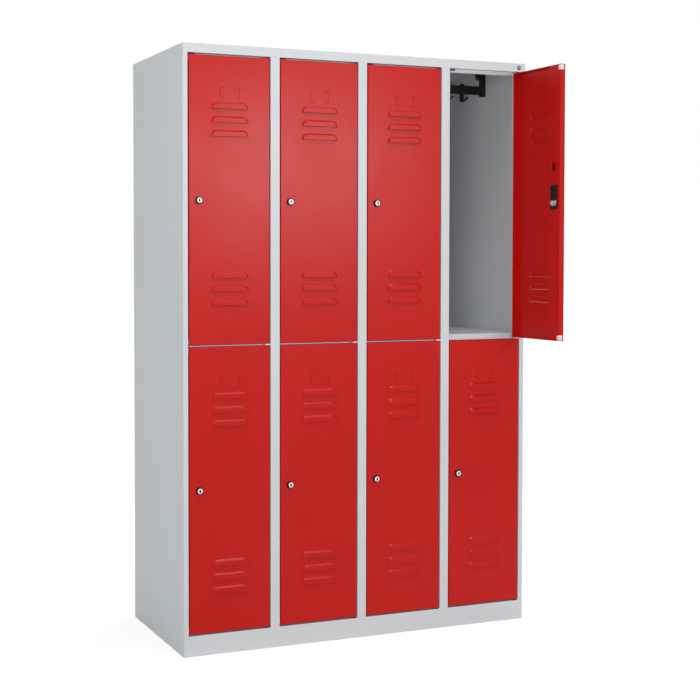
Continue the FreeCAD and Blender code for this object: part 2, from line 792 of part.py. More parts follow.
# One angled pad at each end of the free edge, round its inner corner
def door_buffers():
    edge_x = f"({door_left} - dims.buffer_edge)"
    pad_back = f"({door_in} + dims.buffer_proud)"
    starts = ("dims.buffer_inset", f"({door_height} - dims.buffer_inset - dims.buffer_height)")
    pads = []
    for name, start in zip(("foot", "head"), starts):
        pad_z = (start, f"{start} + dims.buffer_height")
        lip_x = (edge_x, f"{door_left} + dims.buffer_lip")
        lip = block(f"{name}_buffer_lip", lip_x, (door_in, pad_back), pad_z)
        edge_y = (f"{pad_back} - dims.buffer_wrap", door_in)
        edge = block(f"{name}_buffer_edge", (edge_x, door_left), edge_y, pad_z)
        pads.append(fuse(f"{name}_buffer", [lip, edge]))
    return pads


def doors():
    shell = door_shell()
    pins = door_pins()
    housing = lock_body()
    core = lock_cylinder()
    buffers = door_buffers()
    for tier in tiers:
        pieces = {
            "": [shell] + pins[tier],
            "_lock_body": [housing],
            "_lock_cylinder": [core],
            "_buffers": buffers,
        }
        for column in range(1, columns + 1):
            spot = (axis_x(column), axis_y, door_bottom[tier])
            turn = "dims.rest_opening" if (tier, column) == open_door else None
            for suffix, solids in pieces.items():
                label = f"{tier}_door_{column}{suffix}"
                node(copy(f"{label}_placed", solids, spot, turn), label)


# Sliding coat hook, drawn in a side view about the middle of the bar
def coat_hook():
    body = doc.addObject("PartDesign::Body", "coat_hook")
    profile = sketch_on(body, "hook_profile", "YZ_Plane", "-dims.hook_width / 2")
    gap_y = "(dims.bar_thickness / 2 + dims.hook_fit)"
    gap_z = "(dims.bar_height / 2 + dims.hook_fit)"
    out_y = f"({gap_y} + dims.hook_wall)"
    out_z = f"({gap_z} + dims.hook_wall)"
    half_stem = "(dims.hook_stem / 2)"
    turn_z = f"(-{out_z} - dims.hook_neck)"
    inner_y = f"(-{half_stem} - 2 * dims.hook_bore)"
    outer_y = f"({inner_y} - dims.hook_stem)"
    centre_y = f"(-{half_stem} - dims.hook_bore)"
    tip_z = f"({turn_z} + dims.hook_tip)"
    tip_y = f"({inner_y} - {half_stem})"
    corners = [
        (out_y, out_z),
        ("dims.hook_bump", out_z),
        ("-dims.hook_bump", out_z),
        (f"-{out_y}", out_z),
        (f"-{out_y}", f"-{out_z}"),
        (f"-{half_stem}", f"-{out_z}"),
        (f"-{half_stem}", turn_z),
        (inner_y, turn_z),
        (inner_y, tip_z),
        (outer_y, tip_z),
        (outer_y, turn_z),
        (half_stem, turn_z),
        (half_stem, f"-{out_z}"),
        (out_y, f"-{out_z}"),
    ]
    arcs = {
        1: ("0", out_z, True),
        6: (centre_y, turn_z, False),
        8: (tip_y, tip_z, True),
        10: (centre_y, turn_z, True),
    }
    outline(profile, corners, arcs)
    rectangle(profile, (f"-{gap_y}", gap_y), (f"-{gap_z}", gap_z))
    pad(body, profile, "dims.hook_width")
    slit = sketch_on(body, "hook_slit", "YZ_Plane", "dims.hook_width / 2")
    half_slit = "(dims.hook_slit / 2)"
    rectangle(slit, (f"-{out_y}", f"-{gap_y}"), (f"-{half_slit}", half_slit))
    pocket(body, slit, "dims.hook_width")
    return body


def coat_hooks():
    hook = coat_hook()
    offsets = {"centre": "0", "right": "dims.hook_spacing"}
    for tier in tiers:
        bar_z = f"{ceiling[tier]} - dims.bar_drop - dims.bar_height / 2"
        for column in range(1, columns + 1):
            for name in hooks:
                label = f"{tier}_coat_hook_{column}_{name}"
                spot = (f"{column_x(column)} + {offsets[name]}", "0", bar_z)
                node(copy(f"{label}_placed", [hook], spot), label)


side_panel()
flat_panels()
plinth()
top_rail()
front_posts()
partitions()
shelves()
coat_rails()
hinge_bushes()
doors()
coat_hooks()
doc.recompute()

for item in doc.Objects:
    if "Invalid" in item.State or "Error" in item.State:
        raise RuntimeError(f"{item.Name} failed: {item.State}")
for part in nodes:
    if part.Shape.isNull() or not part.Shape.isValid() or not part.Shape.Solids:
        raise RuntimeError(f"{part.Label} has no valid solid")

os.makedirs("parts", exist_ok=True)
for part in nodes:
    part.Shape.exportStep(f"parts/{part.Label}.step")
print(f"{len(nodes)} nodes, {sum(len(part.Shape.Solids) for part in nodes)} solids")
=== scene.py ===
import json
import math

import bmesh
import bpy
from mathutils import Matrix, Vector


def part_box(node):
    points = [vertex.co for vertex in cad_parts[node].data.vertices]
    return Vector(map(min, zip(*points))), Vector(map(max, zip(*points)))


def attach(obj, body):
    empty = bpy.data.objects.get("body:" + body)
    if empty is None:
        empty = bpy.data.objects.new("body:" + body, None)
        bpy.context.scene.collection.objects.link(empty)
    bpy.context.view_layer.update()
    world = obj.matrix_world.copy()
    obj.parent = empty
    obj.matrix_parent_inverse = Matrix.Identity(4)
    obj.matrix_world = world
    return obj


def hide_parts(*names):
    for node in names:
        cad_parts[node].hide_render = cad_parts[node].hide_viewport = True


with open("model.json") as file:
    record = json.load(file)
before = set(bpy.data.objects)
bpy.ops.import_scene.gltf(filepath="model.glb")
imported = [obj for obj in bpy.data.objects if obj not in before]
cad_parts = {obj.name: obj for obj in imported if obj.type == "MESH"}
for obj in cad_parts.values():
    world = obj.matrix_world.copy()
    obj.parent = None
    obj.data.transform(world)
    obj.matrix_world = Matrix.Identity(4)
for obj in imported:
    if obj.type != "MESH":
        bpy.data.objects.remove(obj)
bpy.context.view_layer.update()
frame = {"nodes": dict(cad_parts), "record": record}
print("frame loaded:", len(frame["nodes"]), "nodes")

scene = bpy.context.scene
scene.view_settings.view_transform = "Standard"

columns = (1, 2, 3, 4)
places = [(tier, column) for tier in ("lower", "upper") for column in columns]
joints = {joint["name"]: joint for joint in frame["record"]["behaviour"]["joints"]}


# camera, fitted to the edges of the carcass in the photograph
cameraSettings = {
    "spot": (-1.8505, -4.0326, 1.1766),
    "yaw": 22.6185,
    "pitch": 2.0,
    "lens": 70.289,
    "sensor": 36.0,
    "shift": (0.1, -0.0638),
}


def makeCamera(settings):
    data = bpy.data.cameras.new("camera")
    data.sensor_width = settings["sensor"]
    data.lens = settings["lens"]
    data.shift_x, data.shift_y = settings["shift"]
    camera = bpy.data.objects.new("camera", data)
    scene.collection.objects.link(camera)
    camera.location = settings["spot"]
    camera.rotation_euler = (math.radians(90 - settings["pitch"]), 0, math.radians(-settings["yaw"]))
    scene.camera = camera


makeCamera(cameraSettings)
print("camera placed")


# finishes
noiseBand = (0.3, 0.7)  # the part of a noise's range that is spread over a mix
coatingDetail = {"cloud": 3.0, "haze": 4.0, "peel": 1.0}
bushDetail = {"cloud": 2.0, "haze": 2.0, "peel": 2.0}
mixFirst, mixSecond, mixResult = 6, 7, 2  # colour sockets of a mix node


def startFinish(name):
    material = bpy.data.materials.new(name)
    material.use_nodes = True
    tree = material.node_tree
    shader = tree.nodes["Principled BSDF"]
    coords = tree.nodes.new("ShaderNodeTexCoord")
    return material, tree, shader, coords.outputs["Object"]


def addNoise(tree, coords, scale, detail):
    noise = tree.nodes.new("ShaderNodeTexNoise")
    noise.inputs["Scale"].default_value = scale
    noise.inputs["Detail"].default_value = detail
    tree.links.new(coords, noise.inputs["Vector"])
    return noise.outputs["Fac"]


def mixColours(tree, factor, first, second):
    ramp = tree.nodes.new("ShaderNodeValToRGB")
    for index, colour in enumerate((first, second)):
        ramp.color_ramp.elements[index].position = noiseBand[index]
        ramp.color_ramp.elements[index].color = (*colour, 1)
    tree.links.new(factor, ramp.inputs["Fac"])
    return ramp.outputs["Color"]


def mapRange(tree, factor, low, high):
    spread = tree.nodes.new("ShaderNodeMapRange")
    spread.inputs["From Min"].default_value, spread.inputs["From Max"].default_value = noiseBand
    spread.inputs["To Min"].default_value = low
    spread.inputs["To Max"].default_value = high
    tree.links.new(factor, spread.inputs["Value"])
    return spread.outputs["Result"]


def addSurface(tree, shader, coords, settings, detail):
    haze = addNoise(tree, coords, settings["hazeScale"], detail["haze"])
    tree.links.new(mapRange(tree, haze, *settings["roughness"]), shader.inputs["Roughness"])
    peel = addNoise(tree, coords, settings["peelScale"], detail["peel"])
    bump = tree.nodes.new("ShaderNodeBump")
    bump.inputs["Strength"].default_value = settings["peelStrength"]
    bump.inputs["Distance"].default_value = settings["peelDepth"]
    tree.links.new(peel, bump.inputs["Height"])
    soft = tree.nodes.new("ShaderNodeBevel")
    soft.inputs["Radius"].default_value = settings["edge"]
    tree.links.new(soft.outputs["Normal"], bump.inputs["Normal"])
    tree.links.new(bump.outputs["Normal"], shader.inputs["Normal"])


def makeCoating(name, settings):
    material, tree, shader, coords = startFinish(name)
    cloud = addNoise(tree, coords, settings["cloudScale"], coatingDetail["cloud"])
    colour = mixColours(tree, cloud, settings["shade"], settings["tint"])
    tree.links.new(colour, shader.inputs["Base Color"])
    addSurface(tree, shader, coords, settings, coatingDetail)
    shader.inputs["Specular IOR Level"].default_value = settings["specular"]
    shader.inputs["Metallic"].default_value = settings["metallic"]
    return material


carcassPaint = makeCoating("carcassPaint", {
    "shade": (0.650, 0.678, 0.695), "tint": (0.676, 0.704, 0.721),
    "cloudScale": 2.2, "hazeScale": 6.0, "roughness": (0.34, 0.40),
    "peelScale": 900.0, "peelStrength": 0.06, "peelDepth": 0.0002,
    "specular": 0.2, "metallic": 0.0, "edge": 0.001,
})
doorPaint = makeCoating("doorPaint", {
    "shade": (0.524, 0.0064, 0.0042), "tint": (0.550, 0.0074, 0.0047),
    "cloudScale": 2.6, "hazeScale": 7.0, "roughness": (0.28, 0.32),
    "peelScale": 900.0, "peelStrength": 0.06, "peelDepth": 0.0002,
    "specular": 0.2, "metallic": 0.0, "edge": 0.001,
})
blackMoulding = makeCoating("blackMoulding", {
    "shade": (0.006, 0.006, 0.0065), "tint": (0.010, 0.010, 0.0105),
    "cloudScale": 30.0, "hazeScale": 90.0, "roughness": (0.40, 0.52),
    "peelScale": 2200.0, "peelStrength": 0.25, "peelDepth": 0.0001,
    "specular": 0.3, "metallic": 0.0, "edge": 0.0008,
})
whiteNylon = makeCoating("whiteNylon", {
    "shade": (0.78, 0.77, 0.74), "tint": (0.84, 0.83, 0.81),
    "cloudScale": 60.0, "hazeScale": 120.0, "roughness": (0.36, 0.44),
    "peelScale": 1600.0, "peelStrength": 0.12, "peelDepth": 0.0001,
    "specular": 0.4, "metallic": 0.0, "edge": 0.0008,
})
lockSteel = makeCoating("lockSteel", {
    "shade": (0.62, 0.62, 0.61), "tint": (0.72, 0.72, 0.71),
    "cloudScale": 80.0, "hazeScale": 400.0, "roughness": (0.42, 0.52),
    "peelScale": 3000.0, "peelStrength": 0.10, "peelDepth": 0.00005,
    "specular": 0.5, "metallic": 1.0, "edge": 0.0003,
})
capSteel = makeCoating("capSteel", {
    "shade": (0.20, 0.19, 0.19), "tint": (0.30, 0.29, 0.29),
    "cloudScale": 300.0, "hazeScale": 400.0, "roughness": (0.40, 0.50),
    "peelScale": 3000.0, "peelStrength": 0.10, "peelDepth": 0.00005,
    "specular": 0.5, "metallic": 1.0, "edge": 0.0003,
})


# white hinge blocks in the middle gaps, black bushes in the rail and the plinth
def makeBushFinish(name, settings):
    material, tree, shader, coords = startFinish(name)
    split = tree.nodes.new("ShaderNodeSeparateXYZ")
    tree.links.new(coords, split.inputs["Vector"])
    inGap = tree.nodes.new("ShaderNodeMath")
    inGap.operation = "COMPARE"
    inGap.inputs[1].default_value = settings["gapHeight"]
    inGap.inputs[2].default_value = settings["reach"]
    tree.links.new(split.outputs["Z"], inGap.inputs[0])
    cloud = addNoise(tree, coords, settings["cloudScale"], bushDetail["cloud"])
    light = mixColours(tree, cloud, *settings["light"])
    dark = mixColours(tree, cloud, *settings["dark"])
    choice = tree.nodes.new("ShaderNodeMix")
    choice.data_type = "RGBA"
    tree.links.new(inGap.outputs["Value"], choice.inputs["Factor"])
    tree.links.new(dark, choice.inputs[mixFirst])
    tree.links.new(light, choice.inputs[mixSecond])
    tree.links.new(choice.outputs[mixResult], shader.inputs["Base Color"])
    addSurface(tree, shader, coords, settings, bushDetail)
    return material


bushNylon = makeBushFinish("bushNylon", {
    "gapHeight": 0.917, "reach": 0.2,
    "light": ((0.78, 0.77, 0.74), (0.84, 0.83, 0.81)),
    "dark": ((0.008, 0.008, 0.008), (0.014, 0.014, 0.014)),
    "cloudScale": 60.0, "hazeScale": 120.0, "roughness": (0.36, 0.44),
    "peelScale": 1600.0, "peelStrength": 0.12, "peelDepth": 0.0001, "edge": 0.0008,
})
print("finishes made")


# finishes of the CAD nodes that stay in view
def dressNode(node, material):
    mesh = frame["nodes"][node].data
    mesh.materials.clear()
    mesh.materials.append(material)


carcassNodes = (
    "left_side_panel", "right_side_panel", "back_panel", "top_panel", "floor_panel",
    "plinth", "top_rail", "front_posts", "partitions", "shelves",
)
for node in carcassNodes:
    dressNode(node, carcassPaint)
dressNode("coat_rails", blackMoulding)
dressNode("hinge_bushes", bushNylon)
for tier, column in places:
    dressNode(f"{tier}_door_{column}", doorPaint)
print("nodes dressed")


# tools for the new pieces
near = 1e-6  # two lengths nearer than this are the same
weld = 1e-7
sharpTurn = 1.0  # radians between two faces, from which their edge is rounded
cornerSteps = 6
edgeSteps = 2
smoothAngle = 38.0  # degrees up to which an edge is shaded smooth
facing = 0.9  # cosine from which a face looks to the front


def merge(shell, part):
    mesh = bpy.data.meshes.new("part")
    part.to_mesh(mesh)
    part.free()
    shell.from_mesh(mesh)
    bpy.data.meshes.remove(mesh)


def roundEdges(part, edges, offset, steps=edgeSteps):
    bmesh.ops.bevel(
        part, geom=edges, offset=offset, affect="EDGES", segments=steps, profile=0.5, material=-1,
    )


def sharpEdges(part):
    return [e for e in part.edges if e.calc_face_angle(0.0) > sharpTurn]


def addBlock(shell, low, high, edge, corner=0.0, axis=1, feetOnly=False):
    part = bmesh.new()
    bmesh.ops.create_cube(part, size=1.0)
    low, high = Vector(low), Vector(high)
    bmesh.ops.scale(part, vec=high - low, verts=part.verts)
    bmesh.ops.translate(part, vec=(low + high) / 2, verts=part.verts)
    if corner:
        along = [e for e in part.edges if abs((e.verts[0].co - e.verts[1].co)[axis]) > near]
        if feetOnly:
            along = [e for e in along if e.verts[0].co.z < (low.z + high.z) / 2]
        roundEdges(part, along, corner, cornerSteps)
    roundEdges(part, sharpEdges(part), edge)
    merge(shell, part)


def addTurned(shell, profile, steps):
    part = bmesh.new()
    last = bmesh.ops.create_vert(part, co=(*profile[0], 0))["vert"][0]
    for radius, depth in profile[1:]:
        last = bmesh.ops.extrude_vert_indiv(part, verts=[last])["verts"][0]
        last.co = (radius, depth, 0)
    bmesh.ops.spin(
        part, geom=part.verts[:] + part.edges[:], cent=(0, 0, 0), axis=(0, 1, 0), dvec=(0, 0, 0),
        angle=math.tau, steps=steps, use_merge=True, use_duplicate=False,
    )
    bmesh.ops.remove_doubles(part, verts=part.verts, dist=weld)
    merge(shell, part)


def startRod(radius, front, back, steps):
    part = bmesh.new()
    bmesh.ops.create_cone(
        part, cap_ends=True, cap_tris=False, segments=steps, radius1=radius, radius2=radius, depth=back - front,
    )
    turn = Matrix.Rotation(math.radians(90), 3, "X")
    bmesh.ops.rotate(part, cent=(0, 0, 0), matrix=turn, verts=part.verts)
    bmesh.ops.translate(part, vec=(0, (front + back) / 2, 0), verts=part.verts)
    return part


def finishPiece(name, shell, materials, body, node=None, place=None):
    if place:
        bmesh.ops.transform(shell, matrix=place, verts=shell.verts)
    bmesh.ops.recalc_face_normals(shell, faces=shell.faces)
    mesh = bpy.data.meshes.new(name)
    shell.to_mesh(mesh)
    shell.free()
    for material in materials:
        mesh.materials.append(material)
    mesh.shade_smooth()
    mesh.set_sharp_from_angle(angle=math.radians(smoothAngle))
    piece = bpy.data.objects.new(name, mesh)
    scene.collection.objects.link(piece)
    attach(piece, body)
    if node:
        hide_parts(node)


def doorPlace(tier, column):
    swing = joints[f"door_{tier}_{column}_swing"]
    turn = Matrix.Rotation(-math.radians(swing["range_deg"][0]), 4, "Z")
    return Matrix.Translation(swing["pos_m"]) @ turn


def lockPlace(tier, column):
    spot = joints[f"lock_{tier}_{column}_turn"]["pos_m"]
    return Matrix.Translation(spot) @ doorPlace(tier, column).to_3x3().to_4x4()


# lock: black rosette and sleeve in the door, and the case on the lock channel
lockBodySettings = {
    "front": -0.012, "face": -0.005, "inside": 0.013, "steps": 40,
    "rim": 0.0105, "foot": 0.0115, "round": 0.0012, "roundShare": (0.3, 0.25),
    "bore": 0.00805, "boreLip": 0.0005, "sleeve": 0.0095,
    "caseLow": (-0.021, 0.013, -0.011), "caseHigh": (0.015, 0.0155, 0.056),
    "coverLow": (-0.018, 0.0150, 0.011), "coverHigh": (0.012, 0.0165, 0.053),
    "collarLow": (-0.0125, 0.0150, -0.0125), "collarHigh": (0.0125, 0.0164, 0.0125),
    "feet": ((-0.021, -0.004), (0.004, 0.015)), "footDrop": -0.019, "edge": 0.0005, "corner": 0.002,
}


def makeLockBody(name, body, node, place, settings):
    shell = bmesh.new()
    front, face, inside = settings["front"], settings["face"], settings["inside"]
    bore, lip, sleeve = settings["bore"], settings["boreLip"], settings["sleeve"]
    rim, soft = settings["rim"], settings["round"]
    inward, backward = settings["roundShare"]
    profile = [
        (bore, front + lip), (bore + lip, front), (rim - soft, front),
        (rim - inward * soft, front + backward * soft), (rim, front + soft), (settings["foot"], face),
        (sleeve, face), (sleeve, inside), (bore, inside), (bore, front + lip),
    ]
    addTurned(shell, profile, settings["steps"])
    edge, corner = settings["edge"], settings["corner"]
    for part in ("case", "cover", "collar"):
        addBlock(shell, settings[part + "Low"], settings[part + "High"], edge, corner)
    for left, right in settings["feet"]:
        low = (left, settings["caseLow"][1], settings["footDrop"])
        high = (right, settings["caseHigh"][1], settings["caseLow"][2] + corner)
        addBlock(shell, low, high, edge, corner / 2)
    finishPiece(name, shell, [blackMoulding], body, node, place)


# lock: nickel plug with a key slot whose walls and floor are painted black as shade, and the plate and nut that
# hold the cam
plugSettings = {
    "front": -0.0124, "back": 0.0125, "radius": 0.008, "chamfer": 0.0006, "steps": 48,
    "slotHalf": (0.0024, 0.0048), "slotDepth": 0.006, "slotNear": 1e-4,
    "plateLow": (-0.0215, 0.0193, -0.0095), "plateHigh": (0.0070, 0.0209, 0.0090),
    "plateEdge": 0.0004, "plateRound": 0.0085,
    "nutRadius": 0.0070, "nutDepth": (0.0209, 0.0236), "nutSides": 6, "nutEdge": 0.0005,
    "studRadius": 0.0042, "studEnd": 0.0243, "studEdge": 0.0006, "studSteps": 24,
}


def faceFront(shell, depth):
    faces = [f for f in shell.faces if abs(f.calc_center_median().y - depth) < near]
    return [f for f in faces if f.normal.y < -facing]


def addPlug(shell, settings):
    front = settings["front"]
    part = startRod(settings["radius"], front, settings["back"], settings["steps"])
    rim = [e for e in part.edges if all(abs(v.co.y - front) < near for v in e.verts)]
    roundEdges(part, rim, settings["chamfer"])
    halfWide, halfTall = settings["slotHalf"]
    for spot, across in (((halfWide, 0, 0), (1, 0, 0)), ((-halfWide, 0, 0), (1, 0, 0)),
                         ((0, 0, halfTall), (0, 0, 1)), ((0, 0, -halfTall), (0, 0, 1))):
        part.normal_update()
        faces = faceFront(part, front)
        parts = {p for f in faces for p in (*f.verts, *f.edges)}
        bmesh.ops.bisect_plane(part, geom=faces + list(parts), plane_co=spot, plane_no=across)
    part.normal_update()
    key = [f for f in faceFront(part, front) if f.calc_center_median().xz.length < settings["slotNear"]]
    made = bmesh.ops.extrude_face_region(part, geom=key)["geom"]
    moved = [v for v in made if isinstance(v, bmesh.types.BMVert)]
    bmesh.ops.translate(part, vec=(0, settings["slotDepth"], 0), verts=moved)
    bmesh.ops.delete(part, geom=[f for f in key if f.is_valid], context="FACES_ONLY")
    # painted shade: the walls and floor of the key slot take the second, black finish
    for face in part.faces:
        if any(v in moved for v in face.verts):
            face.material_index = 1
    merge(shell, part)


def addNut(shell, settings):
    addBlock(shell, settings["plateLow"], settings["plateHigh"], settings["plateEdge"],
             settings["plateRound"], feetOnly=True)
    low, high = settings["nutDepth"]
    part = startRod(settings["nutRadius"], low, high, settings["nutSides"])
    roundEdges(part, part.edges[:], settings["nutEdge"])
    merge(shell, part)
    radius, end, edge = settings["studRadius"], settings["studEnd"], settings["studEdge"]
    profile = [(0, low), (radius, low), (radius, end - edge), (radius - edge, end), (0, end)]
    addTurned(shell, profile, settings["studSteps"])


def makeLockCylinder(name, body, node, place, settings):
    shell = bmesh.new()
    addPlug(shell, settings)
    addNut(shell, settings)
    finishPiece(name, shell, [lockSteel, blackMoulding], body, node, place)


# lock: black cam, which points up at rest
camSettings = {
    "low": (-0.008, 0.0168, -0.008), "high": (0.008, 0.0193, 0.038), "edge": 0.0004, "corner": 0.005,
}


def makeCam(name, body, place, settings):
    shell = bmesh.new()
    addBlock(shell, settings["low"], settings["high"], settings["edge"], settings["corner"])
    finishPiece(name, shell, [blackMoulding], body, None, place)


for tier, column in places:
    title, node, place = f"{tier}Door{column}", f"{tier}_door_{column}", lockPlace(tier, column)
    door, lock = f"door_{tier}_{column}", f"lock_{tier}_{column}"
    makeLockBody(f"{title}LockBody", door, f"{node}_lock_body", place, lockBodySettings)
    makeLockCylinder(f"{title}LockCylinder", lock, f"{node}_lock_cylinder", place, plugSettings)
    makeCam(f"{title}LockCam", lock, place, camSettings)
print("locks made")


# white corner buffers on the free edge, each with a raised ring on its inner face
bufferSettings = {
    "edge": -0.2502, "freeEdge": -0.249, "lip": -0.240, "inside": 0.013, "back": 0.0146, "wrap": 0.0006,
    "height": 0.016, "inset": 0.002, "soft": 0.0005, "corner": 0.0035,
    "ringRadius": 0.0030, "ringTube": 0.0008, "ringShare": (0.7, 0.6), "ringSink": 0.5, "ringSteps": 24,
}


def addRing(shell, spot, settings):
    part = bmesh.new()
    radius, tube = settings["ringRadius"], settings["ringTube"]
    across, rise = (share * tube for share in settings["ringShare"])
    profile = [
        (radius - tube, 0), (radius - across, rise), (radius, tube),
        (radius + across, rise), (radius + tube, 0), (radius - tube, 0),
    ]
    addTurned(part, profile, settings["ringSteps"])
    bmesh.ops.translate(part, vec=spot, verts=part.verts)
    merge(shell, part)


def makeBuffers(name, body, node, place, doorHeight, settings):
    shell = bmesh.new()
    edge, freeEdge, lip = settings["edge"], settings["freeEdge"], settings["lip"]
    back, soft, corner = settings["back"], settings["soft"], settings["corner"]
    inset, height = settings["inset"], settings["height"]
    for start in (inset, doorHeight - inset - height):
        end = start + height
        addBlock(shell, (edge, settings["inside"], start), (lip, back, end), soft, corner)
        addBlock(shell, (edge, settings["wrap"], start), (freeEdge, back, end), soft, corner, axis=0)
        ringFoot = back - settings["ringSink"] * settings["ringTube"]
        addRing(shell, ((freeEdge + lip) / 2, ringFoot, (start + end) / 2), settings)
    finishPiece(name, shell, [whiteNylon], body, node, place)


for tier, column in places:
    place = doorPlace(tier, column)
    lockRise = lockPlace(tier, column).translation.z - place.translation.z  # half a door's height
    makeBuffers(f"{tier}Door{column}Buffers", f"door_{tier}_{column}", f"{tier}_door_{column}_buffers",
                place, 2 * lockRise, bufferSettings)
print("buffers made")


# sliding coat hooks: a collar round the bar with a bump on top, and a hook that tapers to its tip
hookSettings = {
    "gap": (0.0053, 0.0143), "wall": 0.003, "halfWidth": 0.006, "edge": 0.0006,
    "bumpHalf": (0.0050, 0.0040), "bumpRise": 0.0030, "bumpEdge": 0.0018,
    "stemLow": (-0.0058, -0.0070, -0.0405), "stemHigh": (0.0058, 0.0082, -0.0160), "stemEdge": 0.0026,
    "neckBack": 0.0025, "neckStart": -0.0200, "neckEnd": -0.0250,
    "bend": 0.0130, "bendTurn": 110.0, "bendSteps": 14, "ringSteps": 20,
    "tip": 0.0235, "tipInset": 0.0004, "tipRise": 0.0006,
    "section": (0.0058, 0.0056), "tipSection": (0.0036, 0.0026), "taper": 1.8,
}


def addCollar(shell, settings):
    part = bmesh.new()
    bmesh.ops.create_grid(part, x_segments=1, y_segments=1, size=1.0)
    outer = [half + settings["wall"] for half in settings["gap"]]
    bmesh.ops.scale(part, vec=(outer[1], outer[0], 1), verts=part.verts)
    bmesh.ops.inset_region(part, faces=part.faces[:], thickness=settings["wall"], use_boundary=True)
    middle = min(part.faces, key=lambda f: f.calc_center_median().length + f.calc_area())
    bmesh.ops.delete(part, geom=[middle], context="FACES")
    made = bmesh.ops.extrude_face_region(part, geom=part.faces[:])["geom"]
    moved = [v for v in made if isinstance(v, bmesh.types.BMVert)]
    bmesh.ops.translate(part, vec=(0, 0, 2 * settings["halfWidth"]), verts=moved)
    bmesh.ops.translate(part, vec=(0, 0, -settings["halfWidth"]), verts=part.verts)
    turn = Matrix.Rotation(math.radians(90), 3, "Y")
    bmesh.ops.rotate(part, cent=(0, 0, 0), matrix=turn, verts=part.verts)
    part.normal_update()
    roundEdges(part, sharpEdges(part), settings["edge"])
    merge(shell, part)


def hookPath(settings):
    start, low, back = settings["neckStart"], settings["neckEnd"], settings["neckBack"]
    bend, whole = settings["bend"], math.radians(settings["bendTurn"])
    path = [(back, start, 0), (back, (start + low) / 2, 0), (back, low, 0)]
    for step in range(1, settings["bendSteps"] + 1):
        turn = whole * step / settings["bendSteps"]
        path.append((back + bend * math.cos(turn) - bend, low - bend * math.sin(turn), turn))
    y, z, turn = path[-1]
    for share in (0.5, 1.0):
        reach = share * settings["tip"]
        path.append((y - reach * math.sin(turn), z - reach * math.cos(turn), turn))
    return path


def hookFrame(point, share, settings):
    y, z, turn = point
    ends = zip(settings["section"], settings["tipSection"])
    size = [first + (last - first) * share ** settings["taper"] for first, last in ends]
    tilt = Matrix.Rotation(-turn, 4, "X")
    return Matrix.Translation((0, y, z)) @ tilt @ Matrix.Diagonal((*size, 1, 1))


def addHook(shell, settings):
    part = bmesh.new()
    path = hookPath(settings)
    frames = [hookFrame(point, index / (len(path) - 1), settings) for index, point in enumerate(path)]
    ring = bmesh.ops.create_circle(part, cap_ends=True, segments=settings["ringSteps"], radius=1.0)["verts"]
    bmesh.ops.transform(part, matrix=frames[0], verts=ring)
    edges = part.edges[:]
    for before, after in zip(frames, frames[1:]):
        made = bmesh.ops.extrude_edge_only(part, edges=edges)["geom"]
        verts = [v for v in made if isinstance(v, bmesh.types.BMVert)]
        edges = [e for e in made if isinstance(e, bmesh.types.BMEdge)]
        edges = [e for e in edges if all(v in verts for v in e.verts)]
        bmesh.ops.transform(part, matrix=after @ before.inverted(), verts=verts)
    cap = bmesh.ops.edgeloop_fill(part, edges=edges)["faces"]
    bmesh.ops.inset_region(part, faces=cap, thickness=settings["tipInset"], depth=settings["tipRise"])
    merge(shell, part)


def makeHook(name, body, node, place, settings):
    shell = bmesh.new()
    addCollar(shell, settings)
    wide, deep = settings["bumpHalf"]
    top = settings["gap"][1] + settings["wall"]
    low = (-wide, -deep, top - settings["wall"] / 2)
    addBlock(shell, low, (wide, deep, top + settings["bumpRise"]), settings["bumpEdge"])
    addBlock(shell, settings["stemLow"], settings["stemHigh"], settings["stemEdge"])
    addHook(shell, settings)
    finishPiece(name, shell, [blackMoulding], body, node, place)


def hookPlace(node, settings):
    low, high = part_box(node)
    barMiddle = high.z - settings["gap"][1] - settings["wall"] - settings["bumpRise"]
    return Matrix.Translation(((low.x + high.x) / 2, 0, barMiddle))


for tier, column in places:
    for side in ("centre", "right"):
        node = f"{tier}_coat_hook_{column}_{side}"
        makeHook(f"{tier}Hook{column}{side.title()}", f"hook_{tier}_{column}_{side}", node,
                 hookPlace(node, hookSettings), hookSettings)
print("hooks made")


# blank round cap at the right end of the top rail, in a black rim that is painted shade round it
capSettings = {
    "fromEnd": 0.022, "fromTop": 0.0135, "sink": 0.0002, "steps": 32,
    "radius": 0.0048, "height": 0.0022, "domeSteps": 6,
    "rim": 0.0066, "rimHeight": 0.0012, "rimEdge": 0.0006, "rimShare": 0.4,
}


def makeCap(settings):
    railLow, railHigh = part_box("top_rail")
    spot = (railHigh.x - settings["fromEnd"], railLow.y, railHigh.z - settings["fromTop"])
    place = Matrix.Translation(spot)
    radius, height, sink = settings["radius"], settings["height"], settings["sink"]
    profile = [(0, -height)]
    for step in range(1, settings["domeSteps"] + 1):
        turn = math.pi / 2 * step / settings["domeSteps"]
        profile.append((radius * math.sin(turn), -height * math.cos(turn)))
    profile += [(radius, sink), (0, sink)]
    shell = bmesh.new()
    addTurned(shell, profile, settings["steps"])
    finishPiece("railCap", shell, [capSteel], "carcass", None, place)
    # painted shade: the black rim stands for the dark ring of shade round the cap
    rim, rise = settings["rim"], settings["rimHeight"]
    profile = [
        (radius, sink), (radius, -rise), (rim - settings["rimEdge"], -rise),
        (rim, -settings["rimShare"] * rise), (rim, sink), (radius, sink),
    ]
    shell = bmesh.new()
    addTurned(shell, profile, settings["steps"])
    finishPiece("railCapShadeRim", shell, [blackMoulding], "carcass", None, place)


makeCap(capSettings)
print("cap made")


# black pads that paint the shade in the notches over the lock ends of the top stops
shadePadSettings = {
    "hingeToOpening": 0.2525, "edge": 0.0004, "corner": 0.0010,
    "plugX": (0.0102, 0.0298), "plugY": (-0.0008, 0.0010), "plugZ": (0.0062, 0.0113),
    "flangeX": (0.0080, 0.0330), "flangeY": (0.00005, 0.0025), "flangeZ": (0.0035, 0.0113),
}


